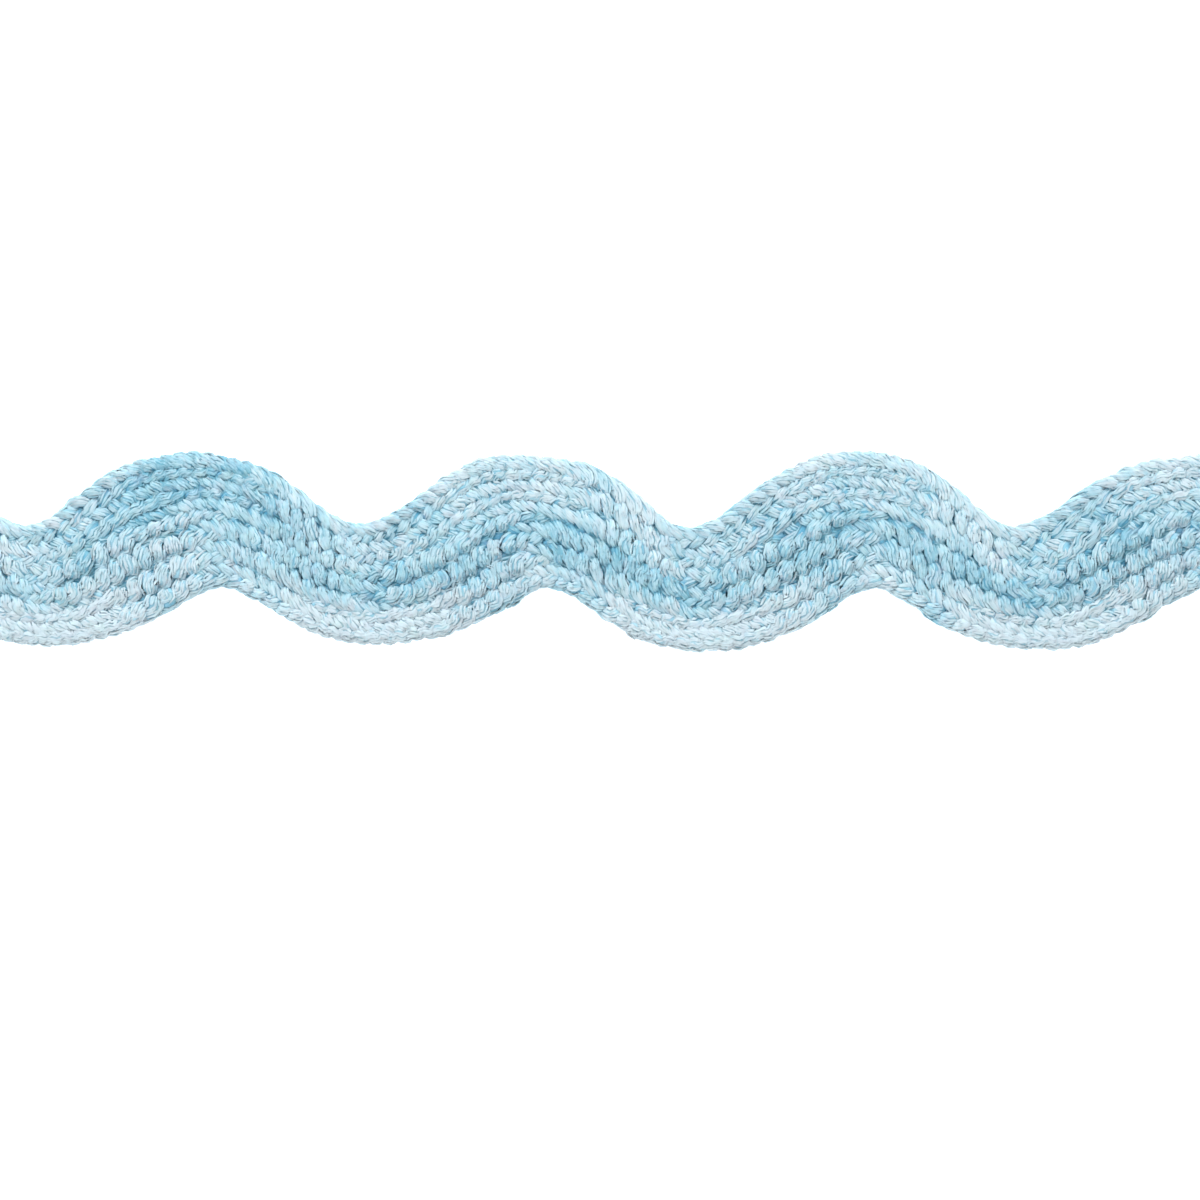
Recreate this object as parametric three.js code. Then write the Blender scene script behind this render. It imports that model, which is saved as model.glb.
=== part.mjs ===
// A cut length of ric rac: one flat braided strip that waves in its own plane, lying face up.
// Millimetres. +X runs along the strip, +Y across it, +Z up out of its face.
// The strip rests on its flat back at Z = 0.
import * as THREE from "three";

// Driving dimensions
const CUT_LENGTH = 107.2;       // between the two straight cuts
const THICKNESS = 1.55;         // braided strip, back to crown, between the raised rows
const ROW_COUNT = 12;           // rows of stitches that run along the strip, side by side
const ROW_RELIEF = 0.3;         // how far the plumpest row stands out of the face
const FLAT_ROW_SHARE = 0.35;    // what is left of that on a flank where the row lies flat
const EDGE_TUCK = 0.035;        // share of the width taken by each rounded edge
const WIDEST_HEIGHT = 0.42;     // height of the edge's widest line, as a share of the thickness
const SHOULDER_HEIGHT = 0.74;   // height where the rounded edge meets the face, same share
const CROWN_POWER = 0.45;       // below 1 the face rises fast at the edges and is even in the middle
const RING_COUNT = 144;         // cross sections along the strip

// One row for each bend of the wave from left to right, crests and troughs by turns.
// X and Y place the bend of the top edge and of the bottom edge. Lean is how far the flank that
// follows runs ahead of an even wave, as a share of half a wave, so that the outer bends come out
// broad and the inner ones narrow.
const BENDS = [
  { topX: -59.2, topY: 7.65, topLean: -0.12, bottomX: -56.9, bottomY: -3.05, bottomLean: 0.16 },
  { topX: -46.2, topY: 2.01, topLean: 0.15, bottomX: -44.3, bottomY: -7.54, bottomLean: -0.12 },
  { topX: -32.7, topY: 7.76, topLean: -0.12, bottomX: -30.3, bottomY: -2.94, bottomLean: 0.12 },
  { topX: -19.6, topY: 2.19, topLean: 0.01, bottomX: -17.8, bottomY: -7.42, bottomLean: -0.15 },
  { topX: -7.9, topY: 7.57, topLean: -0.23, bottomX: -4.0, bottomY: -3.0, bottomLean: 0.12 },
  { topX: 6.9, topY: 1.82, topLean: 0.1, bottomX: 8.0, bottomY: -7.98, bottomLean: -0.15 },
  { topX: 20.5, topY: 7.91, topLean: -0.14, bottomX: 21.9, bottomY: -3.06, bottomLean: 0.2 },
  { topX: 33.0, topY: 1.85, topLean: 0.16, bottomX: 36.6, bottomY: -7.86, bottomLean: -0.06 },
  { topX: 48.3, topY: 7.57, topLean: -0.11, bottomX: 49.4, bottomY: -2.62, bottomLean: 0.11 },
  { topX: 61.4, topY: 1.8, topLean: 0, bottomX: 62.4, bottomY: -7.96, bottomLean: 0 },
];
const LAST_BEND = BENDS.length - 1;

/** Point of one edge. phase counts half waves from the first bend in the table. */
function edgePoint(side, phase) {
  const bend = Math.min(Math.max(Math.floor(phase), 0), LAST_BEND - 1);
  const from = BENDS[bend];
  const to = BENDS[bend + 1];
  const along = phase - bend;
  const led = along + from[`${side}Lean`] * Math.sin(Math.PI * along);
  const swing = (1 - Math.cos(Math.PI * led)) / 2;
  return {
    x: THREE.MathUtils.lerp(from[`${side}X`], to[`${side}X`], along),
    y: THREE.MathUtils.lerp(from[`${side}Y`], to[`${side}Y`], swing),
  };
}

/** Point of the strip's plane: across is 0 on the top edge and 1 on the bottom edge. */
function planePoint(phase, across) {
  const top = edgePoint("top", phase);
  const bottom = edgePoint("bottom", phase);
  return {
    x: THREE.MathUtils.lerp(top.x, bottom.x, across),
    y: THREE.MathUtils.lerp(top.y, bottom.y, across),
  };
}

/** Phase at which the line of one across value meets a straight cut at x. */
function phaseAtCut(cutX, across) {
  const halvings = 40;
  let low = 0;
  let high = LAST_BEND;
  for (let step = 0; step < halvings; step += 1) {
    const middle = (low + high) / 2;
    if (planePoint(middle, across).x < cutX) {
      low = middle;
    } else {
      high = middle;
    }
  }
  return (low + high) / 2;
}

/** Rise of a row above the face. Even rows stand out on falling flanks, odd ones on rising flanks. */
function rowRise(row, phase) {
  const falling = Math.sin(Math.PI * phase);
  const share = row % 2 === 0 ? (1 + falling) / 2 : (1 - falling) / 2;
  return ROW_RELIEF * THREE.MathUtils.lerp(FLAT_ROW_SHARE, 1, share);
}

/** Height of the face between its two shoulders. */
function faceHeight(across) {
  const inset = Math.min(across, 1 - across) - EDGE_TUCK;
  const reach = Math.max(inset, 0) / (0.5 - EDGE_TUCK);
  return THICKNESS * (SHOULDER_HEIGHT + (1 - SHOULDER_HEIGHT) * reach ** CROWN_POWER);
}

/** The section as a list of stations, from the back's top edge round over the face and back. */
function sectionStations() {
  const stations = [
    { across: EDGE_TUCK, height: () => 0 },
    { across: 0, height: () => THICKNESS * WIDEST_HEIGHT },
  ];
  const faceSteps = 2 * ROW_COUNT;
  for (let step = 0; step <= faceSteps; step += 1) {
    const across = EDGE_TUCK + ((1 - 2 * EDGE_TUCK) * step) / faceSteps;
    const row = (step - 1) / 2;
    const onRow = Number.isInteger(row);
    stations.push({
      across,
      height: (phase) => faceHeight(across) + (onRow ? rowRise(row, phase) : 0),
    });
  }
  stations.push({ across: 1, height: () => THICKNESS * WIDEST_HEIGHT });
  stations.push({ across: 1 - EDGE_TUCK, height: () => 0 });
  return stations;
}

/** The strip as one closed loft: rings of section stations from the left cut to the right cut. */
function stripGeometry() {
  const stations = sectionStations();
  const size = stations.length;
  const cuts = stations.map(({ across }) => ({
    left: phaseAtCut(-CUT_LENGTH / 2, across),
    right: phaseAtCut(CUT_LENGTH / 2, across),
  }));
  const positions = [];
  for (let ring = 0; ring <= RING_COUNT; ring += 1) {
    stations.forEach(({ across, height }, index) => {
      const phase = THREE.MathUtils.lerp(cuts[index].left, cuts[index].right, ring / RING_COUNT);
      const { x, y } = planePoint(phase, across);
      positions.push(x, y, height(phase));
    });
  }

  const faces = [];
  for (let ring = 0; ring < RING_COUNT; ring += 1) {
    for (let index = 0; index < size; index += 1) {
      const next = (index + 1) % size;
      const here = ring * size;
      const ahead = here + size;
      faces.push(here + index, ahead + next, ahead + index);
      faces.push(here + index, here + next, ahead + next);
    }
  }
  for (const ring of [0, RING_COUNT]) {
    const start = ring * size;
    const outline = stations.map((station, index) => {
      const at = 3 * (start + index);
      return new THREE.Vector2(positions[at + 1], positions[at + 2]);
    });
    for (const [a, b, c] of THREE.ShapeUtils.triangulateShape(outline, [])) {
      const facesRight = ring === RING_COUNT;
      faces.push(start + a, start + (facesRight ? b : c), start + (facesRight ? c : b));
    }
  }

  const geometry = new THREE.BufferGeometry();
  geometry.setAttribute("position", new THREE.Float32BufferAttribute(positions, 3));
  geometry.setIndex(faces);
  geometry.computeVertexNormals();
  return geometry;
}

/** Moves a geometry in its plane so that the middle of its box lies on the Z axis. */
function centreInPlane(geometry) {
  geometry.computeBoundingBox();
  const middle = geometry.boundingBox.getCenter(new THREE.Vector3());
  geometry.translate(-middle.x, -middle.y, 0);
  return geometry;
}

const skyBlueCotton = new THREE.MeshStandardMaterial({
  name: "sky_blue_cotton",
  color: "#b1d4e3",
  roughness: 0.9,
  metalness: 0,
});

const ricRac = new THREE.Mesh(centreInPlane(stripGeometry()), skyBlueCotton);
ricRac.name = "ric_rac";

const model = new THREE.Group();
model.add(ricRac);

export default model;
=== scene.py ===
"""A cut length of ric rac: a flat braid of soft cotton yarns that waves in its own plane, lying face up.

The strip is braided here yarn by yarn. Each yarn runs slantwise from one edge to the other, turns
round the edge and runs back, over two yarns and under two, so that its floats lie in long rows. A
twisted core gives each yarn its body, short soft strands cover it, and a matted middle closes the
gaps between the yarns.

Sizes are in millimetres, and mesh points are turned to metres where a piece is made. A place on the
strip is given by phase, which counts half waves from the first bend, and by across, which is 0 on
the top edge and 1 on the bottom edge. A pair of values is where a soft change starts and where it is
complete, for ease().
"""
from collections import namedtuple

import bpy
import numpy as np
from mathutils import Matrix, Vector


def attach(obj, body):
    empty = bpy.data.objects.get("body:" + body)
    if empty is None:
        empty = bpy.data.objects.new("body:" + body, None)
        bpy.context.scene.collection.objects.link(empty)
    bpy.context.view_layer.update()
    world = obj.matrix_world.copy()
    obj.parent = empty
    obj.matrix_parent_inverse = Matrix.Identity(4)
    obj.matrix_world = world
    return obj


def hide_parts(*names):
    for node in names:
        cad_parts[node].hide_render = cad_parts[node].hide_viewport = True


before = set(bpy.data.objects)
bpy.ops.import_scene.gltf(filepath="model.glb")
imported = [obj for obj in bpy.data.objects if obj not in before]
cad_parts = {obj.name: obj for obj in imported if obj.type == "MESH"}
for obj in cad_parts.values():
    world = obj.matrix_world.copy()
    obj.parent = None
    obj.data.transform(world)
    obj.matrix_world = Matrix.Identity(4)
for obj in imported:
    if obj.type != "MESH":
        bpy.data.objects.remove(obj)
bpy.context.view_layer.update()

MM = 0.001
UP = np.array([0.0, 0.0, 1.0])
rng = np.random.default_rng(25)

# The strip
CUT_LENGTH = 107.2          # between the two straight cuts
Bend = namedtuple("Bend", "top_x top_y top_lean bottom_x bottom_y bottom_lean")
# Where the wave's edges turn, left to right, crests and troughs by turns. Lean is how far the flank
# that follows runs ahead of an even wave, so that outer bends come out broad and inner ones narrow.
BENDS = (
    Bend(-59.2, 7.65, -0.12, -56.9, -3.05, 0.16),
    Bend(-46.2, 2.01, 0.15, -44.3, -7.54, -0.12),
    Bend(-32.7, 7.76, -0.12, -30.3, -2.94, 0.12),
    Bend(-19.6, 2.19, 0.01, -17.8, -7.42, -0.15),
    Bend(-7.9, 7.57, -0.23, -4.0, -3.0, 0.12),
    Bend(6.9, 1.82, 0.1, 8.0, -7.98, -0.15),
    Bend(20.5, 7.91, -0.14, 21.9, -3.06, 0.2),
    Bend(33.0, 1.85, 0.16, 36.6, -7.86, -0.06),
    Bend(48.3, 7.57, -0.11, 49.4, -2.62, 0.11),
    Bend(61.4, 1.8, 0.0, 62.4, -7.96, 0.0),
)

# Where the outer sides of the bends lie: by the share of the swing towards the bend, and across
CREST_SWING = (0.48, 0.74)
CREST_ACROSS = (0.6, 0.3)
TROUGH_SWING = (0.4, 0.72)
TROUGH_ACROSS = (0.6, 0.82)

# Where the flanks' rows stand out: by the flank's steepness, and across from each edge
STEEP = (0.1, 0.55)
FALLING_TOP = (0.03, 0.13)
FALLING_BOTTOM = (0.92, 0.75)
FALLING_SWAP = (0.82, 0.97)     # from here to the edge the other set of yarns stands out
RISING_TOP = (0.22, 0.5)
RISING_BOTTOM = (1.0, 0.93)
RISING_SWAP = (0.16, 0.02)
SWAPPED = 0.6                   # how far the other set stands out there
UPRIGHT_STEEP = (0, 0.4)        # where yarns stand straight across the strip
UPRIGHT_RISING_TOP = (0.06, 0.2)

# The braid
YARNS = 25                  # yarns of the flat braid; each makes one stitch on each edge of a wave
ROWS = 12                   # rows of floats side by side across the strip
CROSSINGS = 2 * ROWS        # yarns that each yarn meets on its way across
WAVE_STEPS = 2 * YARNS      # steps of one yarn for one whole wave of the strip
FLOAT_STEPS = 2             # steps that a float takes, and that each yarn lies behind its neighbour
MIDDLE_HEIGHT = 0.9         # middle plane of the braid above the surface that it lies on
SWING = 0.33                # how far a float's middle stands off the middle plane
BEND_CALM = 0.25            # share of that swing lost on the outer side of a bend
LIFT = 0.17                 # how much nearer its face the leading set of yarns lies on a flank
LOWEST = 0.01               # height of the lowest fibre above the surface
EDGE_INSET = 0.016          # share of the width between the outline and a turning yarn's middle
RIM = (0.11, 0.06)          # share of the width from an edge in which a yarn turns round it
UPRIGHT = 1.0               # 1 lays a leading float straight across the strip, 0 leaves it slanting
LEVEL = 0.85                # 1 lays a float of an outer bend along the strip, 0 leaves it slanting
LEVEL_UNLIKE = 0.22         # how much more level than that yarns that run up lie, and others less
STEEPNESS = 0.5             # 1 lets a yarn rise and dive evenly; below 1 it floats level and dives fast
DIVE = 0.2                  # steps in which a turned float swings back under others
LONG_FLOAT = 4.2            # how much longer the leading set floats: 0 leaves both sets alike
LONG_FROM = (0.2, 0.9)      # how strongly a set leads before its floats grow long
ROUNDING = 0.35             # rounding of a yarn's corners, in steps
EDGE_ROUNDING = 1.1         # the same where it turns round an edge
ROUNDED_PEAK = 0.86         # share of a float's height that the rounding leaves
SAMPLES_PER_STEP = 16       # samples of the course for each step

# One yarn
PLIES = 4                   # soft plies twisted together
PLY_FURROW = 0.16           # depth of the furrow between two plies, as a share of the yarn's radius
TWIST_PITCH = 11.0          # length of one turn of the plies
FLOAT_HEIGHT = 0.3          # half the yarn's height where it floats
LEAD_PLUMPER = 0.12         # how much higher it is where it leads
FLOAT_FILL = 0.62           # half the yarn's width, as a share of the room to its neighbour
FILL_UNLIKE = 0.1           # how much more of it a leading yarn that runs up fills, and others less
NARROWEST = 0.38            # half the yarn's width where it is squeezed
WIDEST = 0.7                # most that a float's half width may be
LEVEL_WIDTH = 0.57          # half the width of a float that lies along the strip
SQUARENESS = 0.65           # 1 is an oval yarn; below 1 its sides are pressed flat by its neighbours
DIVE_WAIST = 0.5            # width left where a yarn dives under others
WAIST_CURVE = 0.6           # below 1 the waist is short
RIM_WAIST = 0.85            # least width where it turns round the edge
BEND_WAIST = 0.72           # least width on the outer side of a bend
RINGS_PER_STEP = 2.5        # mesh rings along a yarn for each step
ROOM_REACH = 3              # rings within which the room beside a yarn is taken at its widest
ROOM_SOFT = 2               # rings over which that room is evened out
WIDTH_SOFT = 1              # the same for the yarn's width
END_ROOM = 0.1              # half waves left free of yarn at either end of the table of bends
YARN_PIECES = 5             # pieces that the yarns are joined in

# Unevenness of soft yarn that is braided under a changing pull
PULL_ALONG = 0.012          # broad drift of the rows along the strip, in half waves
PULL_ACROSS = 0.009         # the same across it, as a share of its width
PULL_UP = 0.03              # the same in height
TURN_SPREAD = 0.09          # spread of the turn of each float, where 1 lays it straight across
STRAY_ASIDE = 0.045         # how far a yarn strays to its sides
STRAY_UP = 0.03             # how far it strays up and down
WIDTH_SPREAD = 0.13         # spread of its width, as a share
HEIGHT_SPREAD = 0.08        # spread of its height, as a share
TWIST_SPACING = 1.6         # length over which its twist grows looser or tighter
TWIST_SPREAD = 0.02         # and by how much, in turns
PLY_SPREAD = 0.04           # spread of the plies' sizes
SLUB = 0.12                 # thick and thin places of one ply
SLUB_SPACING = 0.6          # length from one to the next
CUT_UNEVEN = 0.5            # how unevenly the scissors leave the yarns' ends

# Strands of fibres that lie side by side along the yarns and cover them. Fibres are 0.02 mm thick
# and too fine to show, so each strand is as wide as ten of them.
STRANDS_AROUND = 16
STRAND_FLATNESS = 0.6       # height of a strand for its width
STRAND_POINTS = 4           # points along one strand
STRAND_SIDES = 3
STRAND_RADIUS = (0.09, 0.13)
STRAND_TIP = 0.35           # share of the radius left at its two ends
STRAND_BLOOM = 0.9          # how far light scattered by fine fibres evens out the shading of strands
STRAND_LENGTH = (0.8, 1.6)
STRAND_OVERLAP = 1.15       # length of a strand for the room it has, so that it ends beside the next
STRAND_REACH = 0.95         # where it lies between the yarn's middle and its surface
REACH_SPREAD = 0.035
STRAND_ASIDE = 0.012        # spread of its place, as a share of the way round the yarn
STRAND_DRIFT = 0.012        # spread of its slant from one point to the next, as the same share
FIRST_STRAND = 4            # rings within which the first strand of a slot starts
STRAND_PIECES = 5           # pieces that the strands are joined in
FLOAT_TOP = 0.9             # strands are laid where a yarn rises to this share of the swing
FLOAT_FOOT = 0.25           # and stays above this share of it
RIM_COVERED = 0.5           # and where it is at least this far into its turn round the edge
CORE = 0.82                 # size of the yarn under its strands

# The matted middle that fills the braid's gaps
GROUND_HALF = 0.23          # half its thickness
GROUND_EDGE = 0.1           # the same along its two edges
GROUND_LIFT = 0.04          # how much thicker it is under a leading set of yarns
GROUND_SINK = 0.5           # share of that by which it is thinner under the outer side of a bend
GROUND_BUMP = 0.025         # spread of its height
GROUND_MARGIN = 0.05        # share of the width between it and the strip's edge
GROUND_SHORTER = 1.0        # how far it stays behind each cut
GROUND_LINES = 19
GROUND_RINGS = 240
FINE_STEPS = 2000           # steps in which a curve is measured

# Shading, where 0 is the deep colour and 1 the pale one: painted light and shade, and random tone
RIM_SHADE = 0.8             # painted light: least paleness of a yarn where it turns round the edge
FURROW_PAINTED_SHADE = 0.22        # painted shade: how much deeper the colour is in the furrows between plies
PALE_CUT = (CUT_LENGTH / 2 - 1, CUT_LENGTH / 2 - 0.5)   # freshly cut ends show the fibres' pale inside
TOP_BAND = (0.48, 0.25)     # painted light along the top side, paler by this much at a crest and this much less at a trough
TOP_PALER = 0.34
TOP_PALER_LOST = 0.22
BOTTOM_BAND = (0.6, 0.8)    # painted light along the bottom side, paler at a crest and by this much more at a trough
BOTTOM_PALER = 0.12
BOTTOM_PALER_GAINED = 0.6
TROUGH_SHADE = (0.25, 0.6)
MIDDLE_SHADE_TOP = (0.35, 0.5)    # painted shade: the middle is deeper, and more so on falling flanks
MIDDLE_SHADE_BOTTOM = (0.85, 0.72)
MIDDLE_SHADE_DEEPER = 0.12
FALLING_SHADE = (-0.8, 0.5)
FALLING_DEEPER = 0.14
PALE_LEFT_END = (3.2, 1.8)      # painted light: towards the left end the middle is paler
LEFT_END_PALER = 0.22
DEEP_CREST = 2.1            # painted shade: one crest is deeper
DEEP_CREST_NEAR = (0.85, 0.35)
DEEP_CREST_ACROSS = (0.45, 0.3)
DEEP_CREST_DEEPER = 0.42
DRIFT_TONE = 0.1            # broad drift of the tone over the strip
YARN_TONE = 0.03            # spread of the yarns' tones
LENGTH_TONE = 0.08          # spread along one yarn
TONE_SPACING = 2            # length over which that changes
STRAND_TONE = 0.08          # spread of the strands' tones
GROUND_TONE = 0.1           # spread of the matted middle's tone
GROUND_BEND_PALER = 0.25    # painted light: how much paler it is under the outer side of a bend

# Shifts that keep the fibre pattern of one yarn or strand from that of the next
YARN_SHIFT = 40.0
STRAND_SHIFT = 0.37
STRAND_WRAP = 3.0           # width of the fibre pattern that goes once round a yarn


def linear(hex_colour):
    """Turns an sRGB hex colour to linear RGBA."""
    channels = [int(hex_colour[i:i + 2], 16) / 255 for i in (1, 3, 5)]
    return tuple(c / 12.92 if c <= 0.04045 else ((c + 0.055) / 1.055) ** 2.4 for c in channels) + (1.0,)


def ease(low, high, value):
    """0 at low, 1 at high, and a soft change between them; low may be above high."""
    t = np.clip((value - low) / (high - low), 0, 1)
    return t * t * (3 - 2 * t)


def unit(vectors):
    """The vectors at a length of one."""
    return vectors / np.maximum(np.linalg.norm(vectors, axis=-1, keepdims=True), 1e-9)


def wander(places, spacing, size, lines=None):
    """A soft random change along a line, or along several: a new value each spacing, eased between."""
    travel = (places - places[0]) / spacing
    count = int(travel[-1]) + 2
    values = rng.normal(0, size, count if lines is None else (count, lines))
    low = travel.astype(int)
    share = ease(0, 1, travel - low)
    share = share if lines is None else share[:, None]
    return values[low] + (values[low + 1] - values[low]) * share


# The strip's plane

def edge_points(side, phase):
    """Points of one edge."""
    x = np.array([getattr(bend, f"{side}_x") for bend in BENDS])
    y = np.array([getattr(bend, f"{side}_y") for bend in BENDS])
    lean = np.array([getattr(bend, f"{side}_lean") for bend in BENDS])
    bend = np.clip(np.floor(phase).astype(int), 0, len(BENDS) - 2)
    along = phase - bend
    led = along + lean[bend] * np.sin(np.pi * along)
    swing = (1 - np.cos(np.pi * led)) / 2
    edge_x = x[bend] + (x[bend + 1] - x[bend]) * along
    edge_y = y[bend] + (y[bend + 1] - y[bend]) * swing
    return np.stack([edge_x, edge_y], -1)


def plane_points(phase, across):
    """Points of the strip's plane."""
    top = edge_points("top", phase)
    bottom = edge_points("bottom", phase)
    return top + (bottom - top) * across[..., None]


def outer_bend(phase, across):
    """1 on the stretched outer side of a bend, where the braid lies low and even, 0 elsewhere."""
    crest = (1 + np.cos(np.pi * phase)) / 2
    at_crest = ease(*CREST_SWING, crest) * ease(*CREST_ACROSS, across)
    at_trough = ease(*TROUGH_SWING, 1 - crest) * ease(*TROUGH_ACROSS, across)
    return at_crest + at_trough


def leading(phase, across):
    """Which set of yarns stands out of the face: 1 for those that run down, -1 for those that run up."""
    flank = np.sin(np.pi * phase)
    falling = ease(*FALLING_TOP, across) * ease(*FALLING_BOTTOM, across)
    falling = ease(*STEEP, flank) * (falling - SWAPPED * ease(*FALLING_SWAP, across))
    rising = ease(*RISING_TOP, across) * ease(*RISING_BOTTOM, across)
    rising = ease(*STEEP, -flank) * (rising - SWAPPED * ease(*RISING_SWAP, across))
    return (falling - rising) * (1 - outer_bend(phase, across))


def upright(phase, across):
    """Which set of yarns lies straight across the strip, with the same signs as leading."""
    flank = np.sin(np.pi * phase)
    falling = ease(*UPRIGHT_STEEP, flank) * ease(*FALLING_TOP, across) * ease(*FALLING_BOTTOM, across)
    rising = ease(*UPRIGHT_STEEP, -flank) * ease(*UPRIGHT_RISING_TOP, across) * ease(*RISING_BOTTOM, across)
    return UPRIGHT * (falling - rising) * (1 - outer_bend(phase, across))


def uneven(phase, across, seed):
    """Soft unevenness over the whole strip, about -1 to 1, as braiding under a changing pull leaves it."""
    count = 12
    along_spread = 18
    across_spread = 14
    waves = np.random.default_rng(seed)
    total = np.zeros_like(phase)
    for _ in range(count):
        along = waves.normal(0, along_spread)
        over = waves.normal(0, across_spread)
        shift = waves.uniform(0, 2 * np.pi)
        total = total + np.sin(along * phase + over * across + shift)
    return total / np.sqrt(count)


def painted_broad_shade(phase, across):
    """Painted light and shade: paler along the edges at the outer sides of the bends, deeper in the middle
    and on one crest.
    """
    trough = ease(*TROUGH_SHADE, (1 - np.cos(np.pi * phase)) / 2)
    paler = (TOP_PALER - TOP_PALER_LOST * trough) * ease(*TOP_BAND, across)
    paler = paler + (BOTTOM_PALER + BOTTOM_PALER_GAINED * trough) * ease(*BOTTOM_BAND, across)
    falling = ease(*FALLING_SHADE, np.sin(np.pi * phase))
    # painted shade in the middle, deeper on falling flanks and less towards the left end
    deeper = MIDDLE_SHADE_DEEPER + FALLING_DEEPER * falling - LEFT_END_PALER * ease(*PALE_LEFT_END, phase)
    middle_shade = deeper * ease(*MIDDLE_SHADE_TOP, across) * ease(*MIDDLE_SHADE_BOTTOM, across)
    # painted shade on one crest
    one_crest = DEEP_CREST_DEEPER * ease(*DEEP_CREST_NEAR, np.abs(phase - DEEP_CREST))
    return paler - middle_shade - one_crest * ease(*DEEP_CREST_ACROSS, across)


# The yarns' course

def soften(values, width):
    """Rounds off the corners of a closed course of evenly spaced values; width is in samples."""
    offsets = np.arange(-int(3 * width), int(3 * width) + 1)
    weights = np.exp(-0.5 * (offsets / width) ** 2)
    return sum(w * np.roll(values, offset) for w, offset in zip(weights, offsets)) / weights.sum()


def soften_line(values, width):
    """Evens out a row of values along a yarn; width is in rings."""
    offsets = np.arange(-3 * width, 3 * width + 1)
    weights = np.exp(-0.5 * (offsets / width) ** 2)
    return np.convolve(np.pad(values, 3 * width, mode="edge"), weights / weights.sum(), mode="valid")


def widest_near(values, reach):
    """The largest value within reach rings on either side."""
    near = np.lib.stride_tricks.sliding_window_view(np.pad(values, reach, mode="edge"), 2 * reach + 1)
    return near.max(axis=-1)


def float_turn(from_middle, half):
    """Swings a float about its middle: half is its half length, and it swings back in the dive."""
    far = np.abs(from_middle)
    return np.sign(from_middle) * np.minimum(far, (half - far) * (half - DIVE) / DIVE)


def braid_course():
    """One yarn's course through one whole wave, at even steps.

    across goes from the top edge to the bottom edge and back, with one step of rest at each. height
    is 1 where the yarn floats on the face and -1 where it floats on the back. heading is 1 on the way
    down and -1 on the way up. The turns swing a float about its middle: plain_turn each float of two
    steps, face_turn the long floats on the face and back_turn the long floats on the back.
    """
    samples = SAMPLES_PER_STEP * WAVE_STEPS
    step = np.arange(samples) * WAVE_STEPS / samples
    down = np.clip(step - 0.5, 0, CROSSINGS)
    up = np.clip(step - YARNS - 0.5, 0, CROSSINGS)
    met = np.where(step < YARNS, down, up)
    rounding = ROUNDING * samples / WAVE_STEPS
    edge_rounding = EDGE_ROUNDING * samples / WAVE_STEPS
    crisp = rounding / 2        # turns are rounded less, so that the floats end crisply
    crispest = rounding / 3
    height = soften(np.sin(np.pi * down / 2) + np.sin(np.pi * up / 2), rounding)
    return {
        "step": step,
        "across": soften((down - up) / CROSSINGS, edge_rounding),
        "height": height / ROUNDED_PEAK,
        "heading": soften(np.where(step < YARNS, 1.0, -1.0), rounding),
        "plain_turn": soften(float_turn(np.mod(met, 2) - 1, 1), crisp),
        "face_turn": soften(float_turn(np.mod(met + 1, 4) - 2, 2), crispest),
        "back_turn": soften(float_turn(np.mod(met + 3, 4) - 2, 2), crisp),
    }


COURSE = braid_course()


def on_course(column, step):
    """Reads one column of the course at any steps."""
    table = COURSE[column]
    closed = np.append(table, table[0])
    return np.interp(np.mod(step, WAVE_STEPS), np.append(COURSE["step"], WAVE_STEPS), closed)


Rings = namedtuple("Rings", "phase step across heading lead long in_front behind rim stretched")
Yarn = namedtuple("Yarn", "path side out length turned width tall tone rim")


def follow_course(number):
    """Where each ring of one yarn is on the strip and in the braid, from beyond one cut to the other."""
    phase = np.arange(END_ROOM, len(BENDS) - 1 - END_ROOM, 1 / (YARNS * RINGS_PER_STEP))
    step = YARNS * phase - FLOAT_STEPS * number
    across = EDGE_INSET + (1 - 2 * EDGE_INSET) * on_course("across", step)
    heading = on_course("heading", step)
    lead = leading(phase, across) * heading
    long = ease(*LONG_FROM, np.abs(lead))
    in_front = np.where(lead > 0, long, 0)
    behind = np.where(lead < 0, long, 0)
    rim = ease(*RIM, np.minimum(across, 1 - across))
    stretched = outer_bend(phase, across)
    return Rings(phase, step, across, heading, lead, long, in_front, behind, rim, stretched)


def lay_in_plane(at):
    """A yarn's points in the strip's plane, and the way that it travels there.

    A float that lies straight across stays at one place of the wave and makes up for it as it dives.
    The rows drift a little inside the strip and keep their line along its edges.
    """
    turn = (1 - at.in_front - at.behind) * on_course("plain_turn", at.step)
    turn = turn + at.in_front * on_course("face_turn", at.step)
    turn = turn + at.behind * on_course("back_turn", at.step)
    across_strip = np.maximum(upright(at.phase, at.across) * at.heading, 0) + UPRIGHT * at.behind
    along_strip = (LEVEL - LEVEL_UNLIKE * at.heading) * at.stretched
    slip = turn * (across_strip + wander(at.step, FLOAT_STEPS, TURN_SPREAD)) / YARNS
    stay = at.heading * turn * along_strip / CROSSINGS
    inner = 4 * at.across * (1 - at.across)
    phase = at.phase - slip + PULL_ALONG * inner * uneven(at.phase, at.across, 1)
    across = at.across - stay + PULL_ACROSS * inner * uneven(at.phase, at.across, 2)
    plane = plane_points(phase, across)
    travel = unit(np.gradient(plane, axis=0))
    left = np.stack([-travel[:, 1], travel[:, 0]], -1)
    return plane + left * wander(at.step, FLOAT_STEPS, STRAY_ASIDE)[:, None], travel


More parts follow.
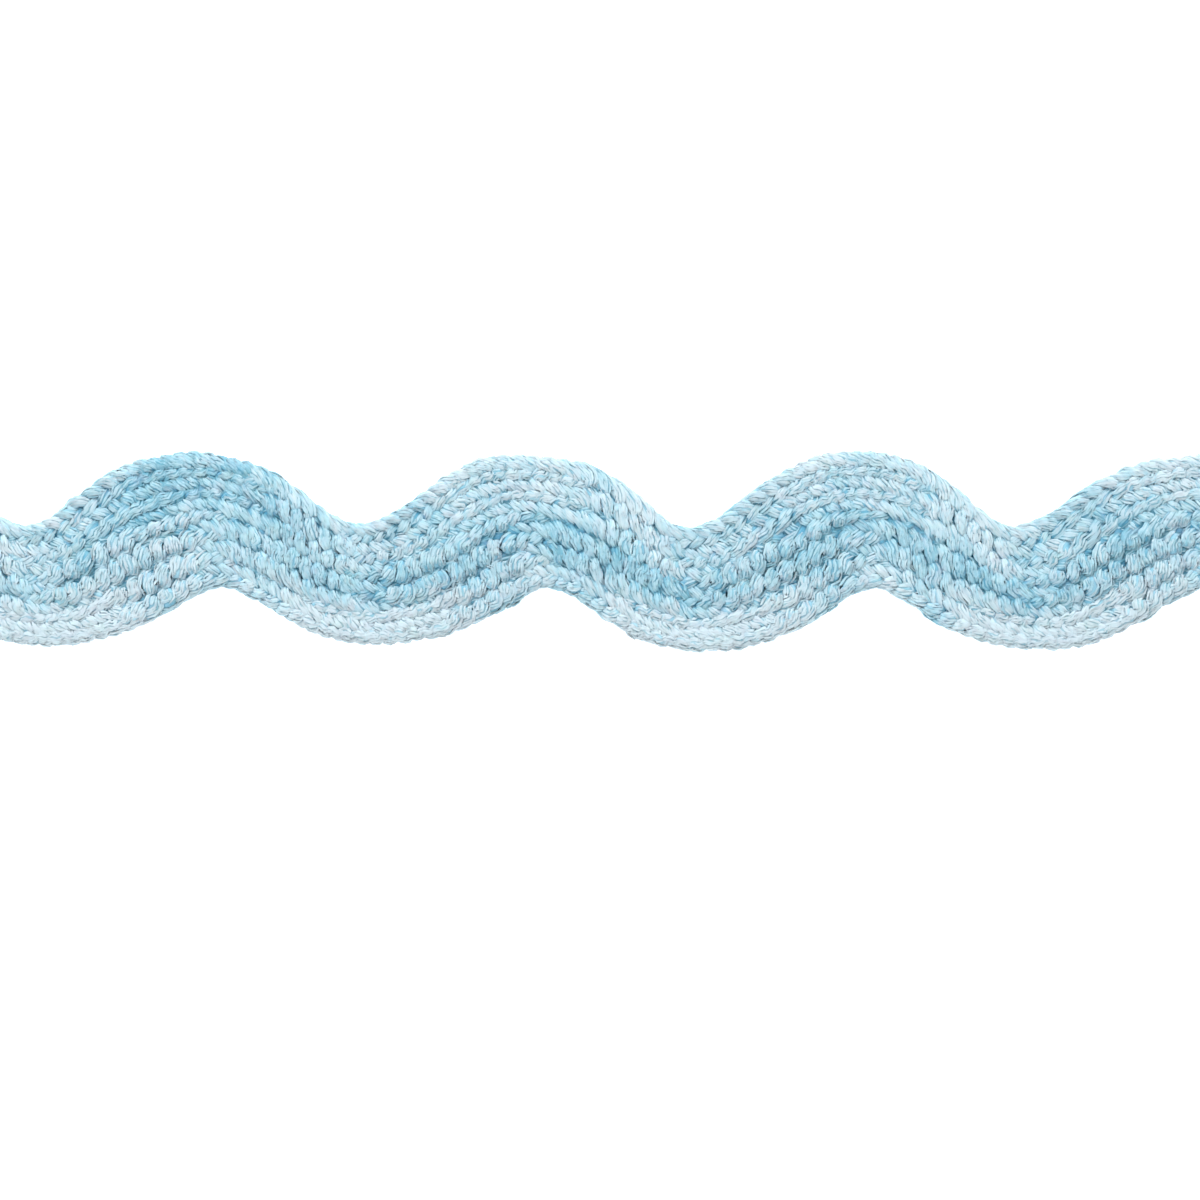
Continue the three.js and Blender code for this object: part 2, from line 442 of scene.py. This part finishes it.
def rise_and_dive(at):
    """Height of a yarn at each ring, and the share of its width left where it dives.

    The leading set stays up for longer than it dives, and the other set stays down for longer.
    """
    height = np.clip(on_course("height", at.step), -1, 1)
    lasting = 1 + LONG_FLOAT * at.long
    stays_up = 1 - 2 * ((1 - height) / 2) ** lasting
    stays_down = 2 * ((1 + height) / 2) ** lasting - 1
    height = np.where(at.lead > 0, stays_up, stays_down)
    waist = DIVE_WAIST + (1 - DIVE_WAIST) * np.abs(height) ** WAIST_CURVE
    waist = np.maximum(waist, np.maximum(RIM_WAIST * at.rim, BEND_WAIST * at.stretched))
    height = np.sign(height) * np.abs(height) ** STEEPNESS
    swing = height * SWING * (1 - BEND_CALM * at.stretched)
    z = MIDDLE_HEIGHT + swing + LIFT * at.lead + wander(at.step, FLOAT_STEPS, STRAY_UP)
    return z + PULL_UP * uneven(at.phase, at.across, 3), waist


def fill_room(at, travel, waist):
    """Half the width and half the height of a yarn at each ring, from the room beside it."""
    beside = plane_points(at.phase + FLOAT_STEPS / YARNS, at.across) - plane_points(at.phase, at.across)
    room = np.abs(beside[:, 0] * travel[:, 1] - beside[:, 1] * travel[:, 0])
    fill = FLOAT_FILL - FILL_UNLIKE * at.heading * at.in_front
    width = fill * soften_line(widest_near(room, ROOM_REACH), ROOM_SOFT)
    width = np.clip(width, NARROWEST, WIDEST)
    width = (width + (LEVEL_WIDTH - width) * at.stretched) * waist
    width = soften_line(width, WIDTH_SOFT) * (1 + wander(at.step, FLOAT_STEPS, WIDTH_SPREAD))
    tall = FLOAT_HEIGHT * (1 + LEAD_PLUMPER * at.lead)
    return width, tall * (1 + wander(at.step, FLOAT_STEPS, HEIGHT_SPREAD))


def yarn_path(number):
    """Middle line of one yarn from cut to cut, with what its rings need."""
    at = follow_course(number)
    plane, travel = lay_in_plane(at)
    z, waist = rise_and_dive(at)
    width, tall = fill_room(at, travel, waist)
    cut = CUT_LENGTH / 2 - rng.uniform(0, CUT_UNEVEN, 2)
    kept = (plane[:, 0] > -cut[0]) & (plane[:, 0] < cut[1])
    path = np.column_stack([plane, z])[kept]
    ahead = unit(np.gradient(path, axis=0))
    side = unit(np.cross(UP, ahead))
    out = np.cross(ahead, side)
    length = np.append(0, np.cumsum(np.linalg.norm(np.diff(path, axis=0), axis=1)))
    turned = length / TWIST_PITCH + wander(length, TWIST_SPACING, TWIST_SPREAD) + rng.uniform()
    # painted broad light and shade, with a random drift of tone
    tone = (painted_broad_shade(at.phase, at.across) + DRIFT_TONE * uneven(at.phase, at.across, 4))[kept]
    tone = tone + rng.normal(0, YARN_TONE) + wander(length, TONE_SPACING, LENGTH_TONE)
    return Yarn(path, side, out, length, turned, width[kept], tall[kept], tone, at.rim[kept])


# A yarn's surface

def pressed(value):
    """A sine or cosine of the way round a yarn whose sides are pressed flat by its neighbours."""
    return np.sign(value) * np.abs(value) ** SQUARENESS


def even_angles():
    """Angles at even steps of the way round a pressed yarn, for reading with np.interp."""
    angle = np.linspace(0, 2 * np.pi, FINE_STEPS)
    wide = pressed(np.cos(angle)) * WIDEST
    high = pressed(np.sin(angle)) * FLOAT_HEIGHT
    way = np.append(0, np.cumsum(np.hypot(np.diff(wide), np.diff(high))))
    return way / way[-1], angle


WAY_ROUND, WAY_ANGLE = even_angles()


def on_yarn(yarn, rings, share, reach):
    """Points of a yarn's surface at the given rings; share is the way round, reach 1 on the crown."""
    angle = np.interp(np.mod(share, 1), WAY_ROUND, WAY_ANGLE)
    wide = pressed(np.cos(angle)) * reach * yarn.width[rings]
    high = pressed(np.sin(angle)) * reach * yarn.tall[rings]
    return yarn.path[rings] + wide[..., None] * yarn.side[rings] + high[..., None] * yarn.out[rings]


def painted_depth_shade(points, rim):
    """Painted shade by depth: 0 in the braid's middle plane, where the colour is deepest, and 1 on a
    float's crown, where it is palest; turns at the rim are near 1 as well, as painted light.
    """
    outward = np.abs(points[:, 2] - MIDDLE_HEIGHT) / (SWING + FLOAT_HEIGHT)
    return np.maximum(outward, RIM_SHADE * rim)


def wall_quads(rings, sides):
    """Quads between the rings of one tube, whose points run ring by ring."""
    here = np.arange(sides)
    after = (here + 1) % sides
    ring = np.arange(rings - 1)[:, None] * sides
    ahead = ring + sides
    return np.stack([ring + here, ring + after, ahead + after, ahead + here], -1).reshape(-1, 4)


Tube = namedtuple("Tube", "points quads triangles fibre tone outward furrow")
VALUES = ("fibre", "tone", "outward", "furrow")     # what the colour at a point is drawn from


def yarn_core(yarn, number):
    """One yarn's twisted core as a closed tube, with a crown and a furrow for each ply."""
    count = len(yarn.path)
    sides = 2 * PLIES
    around = np.arange(sides) / sides
    in_furrow = np.arange(sides) % 2
    plump = 1 + rng.normal(0, PLY_SPREAD, PLIES) + wander(yarn.length, SLUB_SPACING, SLUB, PLIES)
    reach = CORE * np.where(in_furrow == 0, np.repeat(plump, 2, axis=1), 1 - PLY_FURROW)
    rings = np.repeat(np.arange(count)[:, None], sides, axis=1)
    points = on_yarn(yarn, rings, around + yarn.turned[:, None], reach).reshape(-1, 3)
    points = np.vstack([points, yarn.path[0], yarn.path[-1]])
    points[:, 2] = np.maximum(points[:, 2], LOWEST)

    here = np.arange(sides)
    after = (here + 1) % sides
    first_middle = count * sides
    last_ring = first_middle - sides
    caps = np.vstack([
        np.column_stack([after, here, np.full(sides, first_middle)]),
        np.column_stack([last_ring + here, last_ring + after, np.full(sides, first_middle + 1)]),
    ])

    fibre = np.stack([
        np.tile(np.cos(2 * np.pi * around), count) * yarn.width.mean(),
        np.tile(np.sin(2 * np.pi * around), count) * yarn.width.mean(),
        np.repeat(yarn.length + YARN_SHIFT * number, sides),
    ], -1)
    fibre = np.vstack([fibre, fibre[0], fibre[-1]])
    tone = np.append(np.repeat(yarn.tone, sides), yarn.tone[[0, -1]])
    # painted shade by depth, with the cut ends left pale
    outward = painted_depth_shade(points, np.append(np.repeat(yarn.rim, sides), [0, 0]))
    outward = np.maximum(outward, ease(*PALE_CUT, np.abs(points[:, 0])))
    # furrow points get painted shade in the material
    furrow = np.append(np.tile(in_furrow, count), [0, 0])
    return Tube(points, wall_quads(count, sides), caps, fibre, tone, outward, furrow)


def strand_lines(yarn):
    """Middle lines of one yarn's strands, laid end to end in slots round it.

    With each point come its tone, its place in the fibre pattern, how near the rim it is and the way
    that the yarn's surface faces there.
    """
    ring_gap = yarn.length[-1] / len(yarn.length)
    last_place = len(yarn.path) - 3
    count = int(yarn.length[-1] / np.mean(STRAND_LENGTH))
    starts, slots, strides = [], [], []
    for slot in range(STRANDS_AROUND):
        lengths = rng.uniform(*STRAND_LENGTH, count) / ring_gap
        begins = np.cumsum(lengths) - lengths + rng.uniform(0, FIRST_STRAND)
        kept = begins + lengths * STRAND_OVERLAP < last_place
        starts.append(begins[kept])
        strides.append(lengths[kept] * STRAND_OVERLAP / (STRAND_POINTS - 1))
        slots.append(np.full(kept.sum(), slot / STRANDS_AROUND))
    starts, slots, strides = np.concatenate(starts), np.concatenate(slots), np.concatenate(strides)

    number = np.arange(STRAND_POINTS)
    place = starts[:, None] + strides[:, None] * number
    low = place.astype(int)
    drift = rng.normal(0, STRAND_DRIFT, len(place))[:, None] * number
    share = (slots + rng.normal(0, STRAND_ASIDE, len(place)))[:, None] + drift + yarn.turned[low]
    reach = STRAND_REACH + rng.normal(0, REACH_SPREAD, (len(place), 1))
    near = on_yarn(yarn, low, share, reach)
    far = on_yarn(yarn, low + 1, share, reach)
    line = near + (far - near) * (place - low)[..., None]

    from_middle = near - yarn.path[low]
    wide = (from_middle * yarn.side[low]).sum(axis=-1) / yarn.width[low] ** 2
    high = (from_middle * yarn.out[low]).sum(axis=-1) / yarn.tall[low] ** 2
    facing = unit(wide[..., None] * yarn.side[low] + high[..., None] * yarn.out[low])
    return line, yarn.tone[low], np.stack([share, place * ring_gap], -1), yarn.rim[low], facing


def yarn_strands(yarns):
    """The strands that lie on the yarns' floats and rims, as tubes in one, with their normals."""
    laid = [strand_lines(yarn) for yarn in yarns]
    lines, tones, places, rims, facing = (np.concatenate(field) for field in zip(*laid))
    off_middle = np.abs(lines[:, 1:-1, 2] - MIDDLE_HEIGHT)
    on_float = (off_middle.max(axis=1) > FLOAT_TOP * SWING) & (off_middle.min(axis=1) > FLOAT_FOOT * SWING)
    seen = on_float | (rims[:, 1] > RIM_COVERED)
    lines, places, rims, facing = lines[seen], places[seen], rims[seen], facing[seen]
    tones = tones[seen] + rng.normal(0, STRAND_TONE, seen.sum())[:, None]
    shift = np.arange(len(lines))[:, None] * STRAND_SHIFT
    shift = np.repeat(shift, STRAND_POINTS, axis=1)
    fibre = np.stack([places[..., 0] * STRAND_WRAP, shift, places[..., 1]], -1)

    ahead = unit(np.gradient(lines, axis=1))
    side = unit(np.cross(ahead, UP))
    over = np.cross(side, ahead)
    corner = np.pi / 2 + 2 * np.pi * np.arange(STRAND_SIDES) / STRAND_SIDES
    taper = np.ones(STRAND_POINTS)
    taper[[0, -1]] = STRAND_TIP
    radius = (rng.uniform(*STRAND_RADIUS, len(lines))[:, None] * taper)[..., None, None]
    ring = np.cos(corner)[:, None] * side[:, :, None]
    ring = ring + STRAND_FLATNESS * np.sin(corner)[:, None] * over[:, :, None]
    points = (lines[:, :, None] + radius * ring).reshape(-1, 3)
    points[:, 2] = np.maximum(points[:, 2], LOWEST)
    normals = unit(STRAND_BLOOM * facing[:, :, None] + (1 - STRAND_BLOOM) * unit(ring)).reshape(-1, 3)

    size = STRAND_SIDES * STRAND_POINTS
    starts = (np.arange(len(lines)) * size)[:, None, None]
    turned_over = [1, 0, 3, 2]      # the corners of these rings run the other way round
    quads = (wall_quads(STRAND_POINTS, STRAND_SIDES)[:, turned_over] + starts).reshape(-1, 4)
    caps = (np.array([(0, 1, 2), (size - 1, size - 2, size - 3)]) + starts).reshape(-1, 3)
    tone = np.repeat(tones.ravel(), STRAND_SIDES)
    fibre = np.repeat(fibre.reshape(-1, 3), STRAND_SIDES, axis=0)
    # painted shade by depth
    outward = painted_depth_shade(points, np.repeat(rims.ravel(), STRAND_SIDES))
    return Tube(points, quads, caps, fibre, tone, outward, np.zeros(len(points))), normals


# Making pieces

def mesh_piece(name, points, faces, material, values):
    """One piece from points in millimetres, with the named values at each point."""
    mesh = bpy.data.meshes.new(name)
    mesh.from_pydata((points * MM).tolist(), [], faces)
    for value, data in values.items():
        kind, field = ("FLOAT_VECTOR", "vector") if data.ndim == 2 else ("FLOAT", "value")
        attribute = mesh.attributes.new(value, kind, "POINT")
        attribute.data.foreach_set(field, data.astype(np.float32).ravel())
    mesh.polygons.foreach_set("use_smooth", [True] * len(mesh.polygons))
    mesh.materials.append(material)
    mesh.validate()
    piece = bpy.data.objects.new(name, mesh)
    bpy.context.scene.collection.objects.link(piece)
    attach(piece, "root")
    return piece


def tubes_piece(name, tubes, material):
    """One piece from several tubes."""
    faces = []
    start = 0
    for tube in tubes:
        faces += (tube.quads + start).tolist() + (tube.triangles + start).tolist()
        start += len(tube.points)
    points = np.concatenate([tube.points for tube in tubes])
    values = {value: np.concatenate([getattr(tube, value) for tube in tubes]) for value in VALUES}
    return mesh_piece(name, points, faces, material, values)


def braid_yarns(yarns, material):
    """The cores of all the yarns, joined in a few pieces."""
    pieces = []
    for group in range(YARN_PIECES):
        tubes = [yarn_core(yarns[number], number) for number in range(group, YARNS, YARN_PIECES)]
        pieces.append(tubes_piece(f"yarns_{group + 1}", tubes, material))
    return pieces


def braid_strands(yarns, material):
    """The strands of all the yarns, joined in a few pieces."""
    pieces = []
    for group in range(STRAND_PIECES):
        strands, normals = yarn_strands(yarns[group::STRAND_PIECES])
        piece = tubes_piece(f"strands_{group + 1}", [strands], material)
        piece.data.normals_split_custom_set_from_vertices(normals.tolist())
        pieces.append(piece)
    return pieces


def ground_grid():
    """The matted middle in the strip's plane: its points, half its thickness and its painted light and
    shade at each.
    """
    grid = np.zeros((GROUND_RINGS, GROUND_LINES, 2))
    thick = np.zeros((GROUND_RINGS, GROUND_LINES))
    shade = np.zeros((GROUND_RINGS, GROUND_LINES))
    cut = CUT_LENGTH / 2 - GROUND_SHORTER
    phase = np.linspace(0, len(BENDS) - 1, FINE_STEPS)
    for index, across in enumerate(np.linspace(GROUND_MARGIN, 1 - GROUND_MARGIN, GROUND_LINES)):
        line = plane_points(phase, np.full_like(phase, across))
        ends = np.interp([-cut, cut], line[:, 0], phase)
        even = np.linspace(ends[0], ends[1], GROUND_RINGS)
        level = np.full_like(even, across)
        stretched = outer_bend(even, level)
        lifted = np.abs(leading(even, level)) - GROUND_SINK * stretched
        grid[:, index] = plane_points(even, level)
        thick[:, index] = GROUND_HALF + GROUND_LIFT * lifted
        # painted broad light and shade, with painted light under the outer side of a bend
        shade[:, index] = painted_broad_shade(even, level) + GROUND_BEND_PALER * stretched
    thick[:, [0, -1]] = GROUND_EDGE
    return grid, thick, shade


def slab_faces(rings, lines):
    """Faces of a slab from two grids of points, the face's and then the back's, closed round the rim."""
    under = rings * lines
    faces = []
    for ring in range(rings - 1):
        for line in range(lines - 1):
            a = ring * lines + line
            b, c, d = a + lines, a + lines + 1, a + 1
            faces.append((a, d, c, b))
            faces.append((a + under, b + under, c + under, d + under))
    rim = list(range(lines))
    rim += [ring * lines + lines - 1 for ring in range(1, rings)]
    rim += [(rings - 1) * lines + line for line in range(lines - 2, -1, -1)]
    rim += [ring * lines for ring in range(rings - 2, 0, -1)]
    for a, b in zip(rim, rim[1:] + rim[:1]):
        faces.append((b, a, a + under, b + under))
    return faces


def braid_ground(material):
    """The tight middle of the braid, which closes the pinholes between the yarns."""
    grid, thick, shade = ground_grid()
    bump = rng.normal(0, GROUND_BUMP, thick.shape)
    shade += rng.normal(0, GROUND_TONE, shade.shape)
    face = np.dstack([grid, MIDDLE_HEIGHT + thick + bump]).reshape(-1, 3)
    back = np.dstack([grid, MIDDLE_HEIGHT - thick + bump]).reshape(-1, 3)
    points = np.vstack([face, back])
    none = np.zeros(len(points))
    values = {"fibre": points, "tone": np.tile(shade.ravel(), 2), "outward": none, "furrow": none}
    faces = slab_faces(GROUND_RINGS, GROUND_LINES)
    ground = mesh_piece("braid_ground", points, faces, material, values)
    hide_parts("ric_rac")
    return ground


# Materials

LILAC_CAST = "#c6cfe8"
MINT_CAST = "#b4dedb"
CAST_SIZE = 1.1             # width of one cast
FIBRES_ACROSS = 5.5         # a fibre is 0.02 mm thick, too fine to show, and is drawn 0.18 mm wide
FIBRES_ALONG = 1.0          # and about 1 mm long
FIBRE_RELIEF = 0.04
SCATTER_DEPTH = 0.2         # how far light passes into the yarn


def add_node(tree, kind, settings, inputs):
    """Adds one node with its settings, and links or sets its inputs by name or number."""
    made = tree.nodes.new(kind)
    for key, value in settings.items():
        setattr(made, key, value)
    for key, value in inputs.items():
        if isinstance(value, bpy.types.NodeSocket):
            tree.links.new(value, made.inputs[key])
        else:
            made.inputs[key].default_value = value
    return made


def dyed_cotton(name, crown, middle, deep):
    """Soft spun cotton dyed sky blue: matt, with painted light that pales it on the crowns and painted
    shade that deepens it inside.
    """
    material = bpy.data.materials.new(name)
    material.use_nodes = True
    tree = material.node_tree
    shader = tree.nodes["Principled BSDF"]
    at_point = {}
    for value in VALUES:
        attribute = add_node(tree, "ShaderNodeAttribute", {"attribute_name": value}, {})
        at_point[value] = attribute.outputs["Vector" if value == "fibre" else "Fac"]

    # Fibres lie along the yarn, so the pattern is drawn out that way
    lay = add_node(tree, "ShaderNodeVectorMath", {"operation": "MULTIPLY"}, {
        0: at_point["fibre"], 1: (FIBRES_ACROSS, FIBRES_ACROSS, FIBRES_ALONG),
    })
    fibres = add_node(tree, "ShaderNodeTexNoise", {}, {
        "Vector": lay.outputs[0], "Scale": 1.0, "Detail": 3.0, "Roughness": 0.65,
    }).outputs["Fac"]

    # Painted light and shade: paler towards the crown of a float, deeper towards the braid's middle and in
    # the furrows between plies, with flecks of fibre
    level = add_node(tree, "ShaderNodeMapRange", {}, {
        "Value": at_point["outward"], "From Min": 0.4, "From Max": 1.0, "To Min": 0.05, "To Max": 0.62,
    }).outputs[0]
    level = add_node(tree, "ShaderNodeMath", {"operation": "ADD"}, {
        0: level, 1: at_point["tone"],
    }).outputs[0]
    # painted shade in the furrows between plies
    level = add_node(tree, "ShaderNodeMath", {"operation": "MULTIPLY_ADD"}, {
        0: at_point["furrow"], 1: -FURROW_PAINTED_SHADE, 2: level,
    }).outputs[0]
    fleck = add_node(tree, "ShaderNodeMapRange", {}, {
        "Value": fibres, "From Min": 0.3, "From Max": 0.7, "To Min": -0.15, "To Max": 0.15,
    }).outputs[0]
    level = add_node(tree, "ShaderNodeMath", {"operation": "ADD"}, {0: level, 1: fleck}).outputs[0]
    ramp = add_node(tree, "ShaderNodeValToRGB", {}, {0: level})
    ramp.color_ramp.elements[0].color = linear(deep)
    ramp.color_ramp.elements[1].color = linear(crown)
    ramp.color_ramp.elements.new(0.5).color = linear(middle)

    # Dye takes a little unevenly: faint lilac and mint casts
    place = add_node(tree, "ShaderNodeTexCoord", {}, {}).outputs["Object"]
    cast = add_node(tree, "ShaderNodeTexNoise", {}, {
        "Vector": place, "Scale": 1 / (CAST_SIZE * MM), "Detail": 2.0,
    }).outputs["Fac"]
    lilac = add_node(tree, "ShaderNodeMapRange", {}, {
        "Value": cast, "From Min": 0.54, "From Max": 0.75, "To Min": 0.0, "To Max": 0.24,
    }).outputs[0]
    mint = add_node(tree, "ShaderNodeMapRange", {}, {
        "Value": cast, "From Min": 0.46, "From Max": 0.25, "To Min": 0.0, "To Max": 0.26,
    }).outputs[0]
    dyed = ramp.outputs[0]
    for share, colour in ((lilac, LILAC_CAST), (mint, MINT_CAST)):
        mix = add_node(tree, "ShaderNodeMix", {"data_type": "RGBA"}, {0: share, 6: dyed, 7: linear(colour)})
        dyed = mix.outputs[2]
    tree.links.new(dyed, shader.inputs["Base Color"])

    # Matt, with a little sheen from the bloom and light that passes into the soft yarn
    shader.inputs["Roughness"].default_value = 0.88
    shader.inputs["Specular IOR Level"].default_value = 0.25
    shader.inputs["Sheen Weight"].default_value = 0.08
    shader.inputs["Sheen Roughness"].default_value = 0.5
    shader.inputs["Sheen Tint"].default_value = linear("#e6f3f8")
    shader.inputs["Subsurface Weight"].default_value = 0.5
    shader.inputs["Subsurface Radius"].default_value = (0.8, 1.0, 1.1)
    shader.inputs["Subsurface Scale"].default_value = SCATTER_DEPTH * MM
    relief = add_node(tree, "ShaderNodeBump", {}, {
        "Strength": 0.8, "Distance": FIBRE_RELIEF * MM, "Height": fibres,
    })
    tree.links.new(relief.outputs[0], shader.inputs["Normal"])
    return material


def opal_acrylic():
    """Matt white opal acrylic sheet lit faintly from behind, so that shadows on it stay pale."""
    material = bpy.data.materials.new("opal_acrylic")
    material.use_nodes = True
    shader = material.node_tree.nodes["Principled BSDF"]
    shader.inputs["Base Color"].default_value = linear("#fbfbfb")
    shader.inputs["Emission Color"].default_value = linear("#ffffff")
    shader.inputs["Emission Strength"].default_value = 0.5
    shader.inputs["Roughness"].default_value = 0.95
    shader.inputs["Specular IOR Level"].default_value = 0.1
    return material


# Studio

FRAME_WIDTH = 96.0          # width that the picture takes in, at the strip's face
FRAME_CENTRE_Y = -3.96
FACE_HEIGHT = 1.5
LENS = 100.0
SENSOR = 36.0
NEAREST = 10                # distance from the camera at which it starts to see
FLOOR_HALF = 600            # half the width of the floor
WINDOW_PLACE = (-120, 420, 360)
WINDOW_SIZE = 250
WINDOW_POWER = 2.1          # watts


def studio():
    """The floor, the camera straight above and soft light from beyond the strip's top edge."""
    half = FLOOR_HALF * MM
    floor = bpy.data.meshes.new("floor")
    corners = [(-half, -half, 0), (half, -half, 0), (half, half, 0), (-half, half, 0)]
    floor.from_pydata(corners, [], [(0, 1, 2, 3)])
    floor.materials.append(opal_acrylic())
    board = bpy.data.objects.new("floor", floor)
    bpy.context.scene.collection.objects.link(board)

    camera = bpy.data.cameras.new("camera")
    camera.lens = LENS
    camera.sensor_width = SENSOR
    camera.clip_start = NEAREST * MM
    eye = bpy.data.objects.new("camera", camera)
    distance = FRAME_WIDTH * LENS / SENSOR
    eye.location = (0, FRAME_CENTRE_Y * MM, (FACE_HEIGHT + distance) * MM)
    bpy.context.scene.collection.objects.link(eye)
    bpy.context.scene.camera = eye

    lamp = bpy.data.lights.new("window", "AREA")
    lamp.size = WINDOW_SIZE * MM
    lamp.energy = WINDOW_POWER
    light = bpy.data.objects.new("window", lamp)
    light.location = [part * MM for part in WINDOW_PLACE]
    light.rotation_mode = "QUATERNION"
    light.rotation_quaternion = Vector(light.location).to_track_quat("Z", "Y")
    bpy.context.scene.collection.objects.link(light)

    world = bpy.data.worlds.new("soft_room")
    world.use_nodes = True
    world.node_tree.nodes["Background"].inputs["Color"].default_value = linear("#ffffff")
    world.node_tree.nodes["Background"].inputs["Strength"].default_value = 1.0
    bpy.context.scene.world = world
    bpy.context.scene.view_settings.view_transform = "Standard"


studio()
# The core and the matted middle take darker copies of the yarn's colours: painted shade in the gaps between
# strands and yarns
yarn_cotton = dyed_cotton("dyed_cotton_yarn", crown="#cde8f6", middle="#abd8ec", deep="#6eaec8")
core_cotton = dyed_cotton("dyed_cotton_core_shaded", crown="#abd3e3", middle="#90c4d9", deep="#5fa3c1")
ground_cotton = dyed_cotton("dyed_cotton_ground_shaded", crown="#90c4d9", middle="#78b4cc", deep="#5a9fbe")
yarns = [yarn_path(number) for number in range(YARNS)]
cloth = braid_yarns(yarns, core_cotton) + braid_strands(yarns, yarn_cotton)
braid_ground(ground_cotton)
